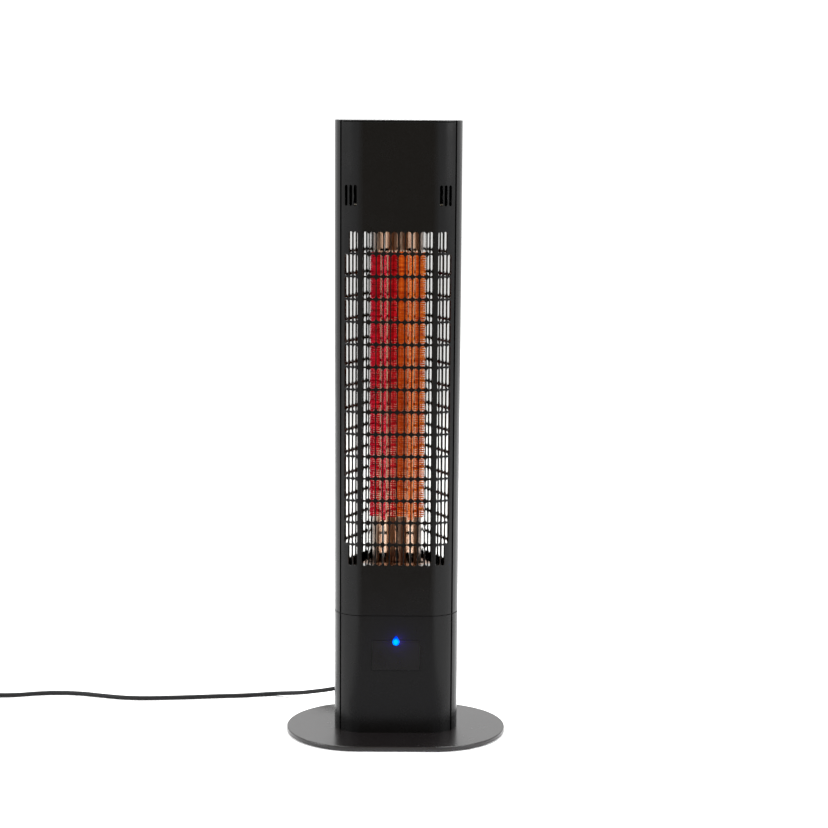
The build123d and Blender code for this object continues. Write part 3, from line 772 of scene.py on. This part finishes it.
# ------------------------------------------------------------------------------------------------ mains lead
@dataclass
class MainsLead:
    """The mains lead from the gland to its plug, the put-away length in a tied coil."""

    radius: float = 3.5 * MM
    length: float = 1.8
    coil_turns: float = 4.32
    turns_inward: float = 2.15
    turns_climbing: float = 0.5
    coil_outer: float = 44.2 * MM
    coil_inner: float = 30.8 * MM
    steps: int = 16
    route: tuple[Point, ...] = (
        (-24.0, 76.0, 44.0), (-24.0, 97.0, 44.0), (-40.0, 115.0, 41.5), (-72.0, 126.0, 34.5),
        (-109.0, 133.0, 24.0), (-139.5, 143.0, 17.0), (-160.3, 155.0, 11.0), (-181.0, 167.0, 6.8),
        (-205.0, 175.0, 3.5), (-233.0, 168.5, 3.5), (-262.0, 162.5, 3.5), (-300.0, 159.0, 3.5),
        (-340.0, 153.0, 3.5), (-380.0, 148.5, 3.5), (-420.0, 145.0, 3.5), (-455.0, 147.5, 3.5),
        (-490.0, 157.5, 3.5), (-528.0, 170.0, 3.5), (-566.0, 173.5, 3.5), (-602.0, 169.0, 3.5),
        (-634.0, 158.5, 3.5), (-664.0, 155.5, 4.2),
    )
    tail: tuple[Point, ...] = ((-749.5, 97.0, 14.0), (-750.0, 80.0, 18.2), (-750.0, 65.0, 18.2))

    def coil_points(self) -> list[Point]:
        """Returns the coil's control points: in on the floor, out again on top.

        Returns:
            The points, in metres.
        """
        low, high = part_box("cord_coil")
        centre = (low + high) / 2
        floor_level = low.z + self.radius
        top_level = floor_level + 2 * self.radius
        turned_up = self.turns_inward + self.turns_climbing
        points = []
        for step in range(int(self.coil_turns * self.steps) + 1):
            turn = step / self.steps
            if turn < self.turns_inward:
                share = turn / self.turns_inward
                radius = self.coil_outer + (self.coil_inner - self.coil_outer) * share
                level = floor_level
            elif turn < turned_up:
                share = (turn - self.turns_inward) / self.turns_climbing
                radius = self.coil_inner
                level = floor_level + (top_level - floor_level) * (1 - math.cos(math.pi * share)) / 2
            else:
                share = (turn - turned_up) / (self.coil_turns - turned_up)
                radius = self.coil_inner + (self.coil_outer - self.coil_inner) * min(1.0, share)
                level = top_level
            angle = math.pi / 2 + 2 * math.pi * turn
            points.append((centre.x + radius * math.cos(angle), centre.y + radius * math.sin(angle), level))
        return points

    def build(self, paints: Paintbox) -> bpy.types.Object:
        """Args:
            paints: the finishes.

        Returns:
            The lead's curve.
        """
        start = [tuple(value * MM for value in point) for point in self.route]
        end = [tuple(value * MM for value in point) for point in self.tail]
        lead = Wire(self.radius, sides=5).build("mains_lead", start + self.coil_points() + end)
        paints.paint(lead, "cord_jacket")
        finish_piece(lead, BODY, ["cord", "cord_coil", "cord_tail"])
        LOG.info("laid %s", lead.name)
        return lead


# ---------------------------------------------------------------------------------------------------- studio
def sheet(name: str, corners: Sequence[Point], material: bpy.types.Material) -> bpy.types.Object:
    """Makes one flat four-cornered sheet.

    Args:
        name: the sheet's name.
        corners: its four corners, in metres.
        material: its surface.

    Returns:
        The sheet.
    """
    mesh = bpy.data.meshes.new(name)
    mesh.from_pydata(corners, [], [(0, 1, 2, 3)])
    mesh.materials.append(material)
    piece = bpy.data.objects.new(name, mesh)
    bpy.context.scene.collection.objects.link(piece)
    return piece


@dataclass(frozen=True)
class SoftLight:
    """One square area light."""

    name: str
    at: Point
    size: float
    power: float
    aim: Point = (0.0, 0.0, 0.45)

    def build(self) -> None:
        """Hangs the light and turns it to its aim."""
        data = bpy.data.lights.new(self.name, "AREA")
        data.shape = "SQUARE"
        data.size = self.size
        data.energy = self.power
        light = bpy.data.objects.new(self.name, data)
        light.location = self.at
        light.rotation_euler = (Vector(self.aim) - Vector(self.at)).to_track_quat("-Z", "Y").to_euler()
        bpy.context.scene.collection.objects.link(light)


@dataclass(frozen=True)
class Spill:
    """The little light that the indicator throws on the casing round it."""

    name: str = "indicator_spill"
    power: float = 0.12
    colour: Colour = (0.12, 0.05, 1.0)
    radius: float = 4 * MM
    aside: float = 3 * MM
    ahead: float = 6 * MM

    def build(self) -> None:
        """Places the light just in front of the indicator lens."""
        low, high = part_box("indicator_lens")
        data = bpy.data.lights.new(self.name, "POINT")
        data.energy = self.power
        data.color = self.colour
        data.shadow_soft_size = self.radius
        light = bpy.data.objects.new(self.name, data)
        light.location = ((low.x + high.x) / 2 + self.aside, low.y - self.ahead, (low.z + high.z) / 2)
        light.visible_glossy = False
        bpy.context.scene.collection.objects.link(light)


@dataclass
class Studio:
    """Plain pale floor, white surround, soft lights, two cards for glossy faces, and the camera."""

    lens: float = 85.519
    sensor: float = 36.0
    sight: float = 1000.0
    distance: float = 3016.7 * MM
    height: float = 987.9 * MM
    swing: float = -0.00469
    yaw: float = 0.0086
    pitch: float = 0.15765
    roll: float = 0.0068
    floor_size: float = 400.0
    floor_colour: Colour = (0.93, 0.93, 0.93)
    floor_shade: float = 0.995
    floor_patches: float = 3.0
    floor_roughness: float = 0.9
    world_front: float = 1.0
    world_rear: float = 1.4
    world_side: float = 0.1
    card_half_width: float = 0.23
    card_far: float = -0.79
    card_shade: float = 0.95
    card_patches: float = 2.0
    flag_height: float = 2.2
    flag_tone: Colour = (0.42, 0.33, 0.21)
    mat_near: float = -0.118
    mat_lift: float = 2 * MM
    mat_tone: Colour = (1.05, 1.04, 1.08)
    lights: tuple[SoftLight, ...] = (
        SoftLight("key_left", at=(-2.2, -1.2, 1.9), size=1.4, power=46.0),
        SoftLight("key_right", at=(2.3, -0.9, 1.7), size=1.4, power=44.0),
        SoftLight("top_rear", at=(0.2, 1.8, 2.6), size=1.8, power=110.0, aim=(0.0, 1.2, 0.0)),
    )

    def camera(self) -> bpy.types.Object:
        """Places the camera at eye height in front of the heater.

        Returns:
            The camera.
        """
        heading = self.swing + self.yaw
        level = math.cos(self.pitch)
        forward = Vector((math.sin(heading) * level, math.cos(heading) * level, -math.sin(self.pitch)))
        right = Vector((math.cos(heading), -math.sin(heading), 0.0))
        up = right.cross(forward)
        tilted_right = right * math.cos(self.roll) + up * math.sin(self.roll)
        tilted_up = up * math.cos(self.roll) - right * math.sin(self.roll)
        turn = Matrix((tilted_right, tilted_up, -forward)).transposed().to_4x4()
        across = -self.distance * math.sin(self.swing)
        eye = Vector((across, -self.distance * math.cos(self.swing), self.height))
        data = bpy.data.cameras.new("camera")
        data.lens = self.lens
        data.sensor_width = self.sensor
        data.clip_end = self.sight
        camera = bpy.data.objects.new("camera", data)
        camera.matrix_world = Matrix.Translation(eye) @ turn
        bpy.context.scene.collection.objects.link(camera)
        bpy.context.scene.camera = camera
        return camera

    def floor(self) -> bpy.types.Object:
        """Lays the floor.

        Returns:
            The floor.
        """
        graph = Graph("studio_floor")
        shader = graph.principled(Roughness=self.floor_roughness, Specular_IOR_Level=0.0)
        paper = graph.noise(graph.place(), self.floor_patches)
        tone = graph.blend(paper, shade(self.floor_colour, self.floor_shade), self.floor_colour)
        graph.join(tone, shader.inputs["Base Color"])
        half = self.floor_size / 2
        corners = [(-half, -half, 0.0), (half, -half, 0.0), (half, half, 0.0), (-half, half, 0.0)]
        return sheet("studio_floor", corners, graph.material)

    def world(self) -> None:
        """Makes a white surround, brighter behind and beside the heater than in front of it."""
        world = bpy.data.worlds.new("studio")
        world.use_nodes = True
        nodes = world.node_tree.nodes
        links = world.node_tree.links
        direction = nodes.new("ShaderNodeTexCoord")
        split = nodes.new("ShaderNodeSeparateXYZ")
        links.new(direction.outputs["Generated"], split.inputs["Vector"])
        depth = nodes.new("ShaderNodeMapRange")
        depth.inputs["From Min"].default_value = -1.0
        depth.inputs["From Max"].default_value = 1.0
        depth.inputs["To Min"].default_value = self.world_front
        depth.inputs["To Max"].default_value = self.world_rear
        links.new(split.outputs["Y"], depth.inputs["Value"])
        sideways = nodes.new("ShaderNodeMath")
        sideways.operation = "ABSOLUTE"
        links.new(split.outputs["X"], sideways.inputs[0])
        gain = nodes.new("ShaderNodeMath")
        gain.operation = "MULTIPLY_ADD"
        gain.inputs[1].default_value = self.world_side
        links.new(sideways.outputs["Value"], gain.inputs[0])
        links.new(depth.outputs["Result"], gain.inputs[2])
        background = nodes["Background"]
        background.inputs["Color"].default_value = (1.0, 1.0, 1.0, 1.0)
        links.new(gain.outputs["Value"], background.inputs["Strength"])
        bpy.context.scene.world = world

    def card(self, name: str, corners: Sequence[Point], colour: Colour) -> bpy.types.Object:
        """Places a card that only shows in the heater's glossy faces.

        Args:
            name: the card's name.
            corners: its four corners, in metres.
            colour: its tone.

        Returns:
            The card.
        """
        graph = Graph(name)
        shader = graph.principled(Base_Color=(0.0, 0.0, 0.0, 1.0), Specular_IOR_Level=0.0)
        cloth = graph.noise(graph.place(), self.card_patches)
        graph.emit(shader, graph.blend(cloth, shade(colour, self.card_shade), colour), 1.0)
        card = sheet(name, corners, graph.material)
        card.visible_camera = False
        card.visible_diffuse = False
        card.visible_shadow = False
        card.visible_transmission = False
        return card

    def cards(self) -> None:
        """Stands the darker card before the camera and lays the pale one on the floor."""
        half = self.card_half_width
        far = self.card_far
        top = self.flag_height
        near = self.mat_near
        lift = self.mat_lift
        upright = [(-half, far, 0.0), (half, far, 0.0), (half, far, top), (-half, far, top)]
        flat = [(-half, far, lift), (half, far, lift), (half, near, lift), (-half, near, lift)]
        self.card("grey_flag", upright, self.flag_tone)
        self.card("grey_mat", flat, self.mat_tone)

    def colour_management(self) -> None:
        """Keeps whites white and blacks black."""
        bpy.context.scene.view_settings.view_transform = "Standard"
        bpy.context.scene.view_settings.look = "None"

    def build(self) -> None:
        """Sets up the surround, the floor, the cards and the lights."""
        self.world()
        self.floor()
        self.cards()
        Spill().build()
        for light in self.lights:
            light.build()
        self.colour_management()


def main() -> None:
    """Builds the studio, lays the lead, and dresses every piece."""
    logging.basicConfig(level=logging.INFO, format="%(message)s")
    studio = Studio()
    studio.camera()
    paints = Paintbox()
    MainsLead().build(paints)
    studio.build()
    paints.dress_nodes()
    for side in Side:
        Lamp(side).build(paints)
    PanelSprings().build(paints)


if __name__ == "__main__":
    main()
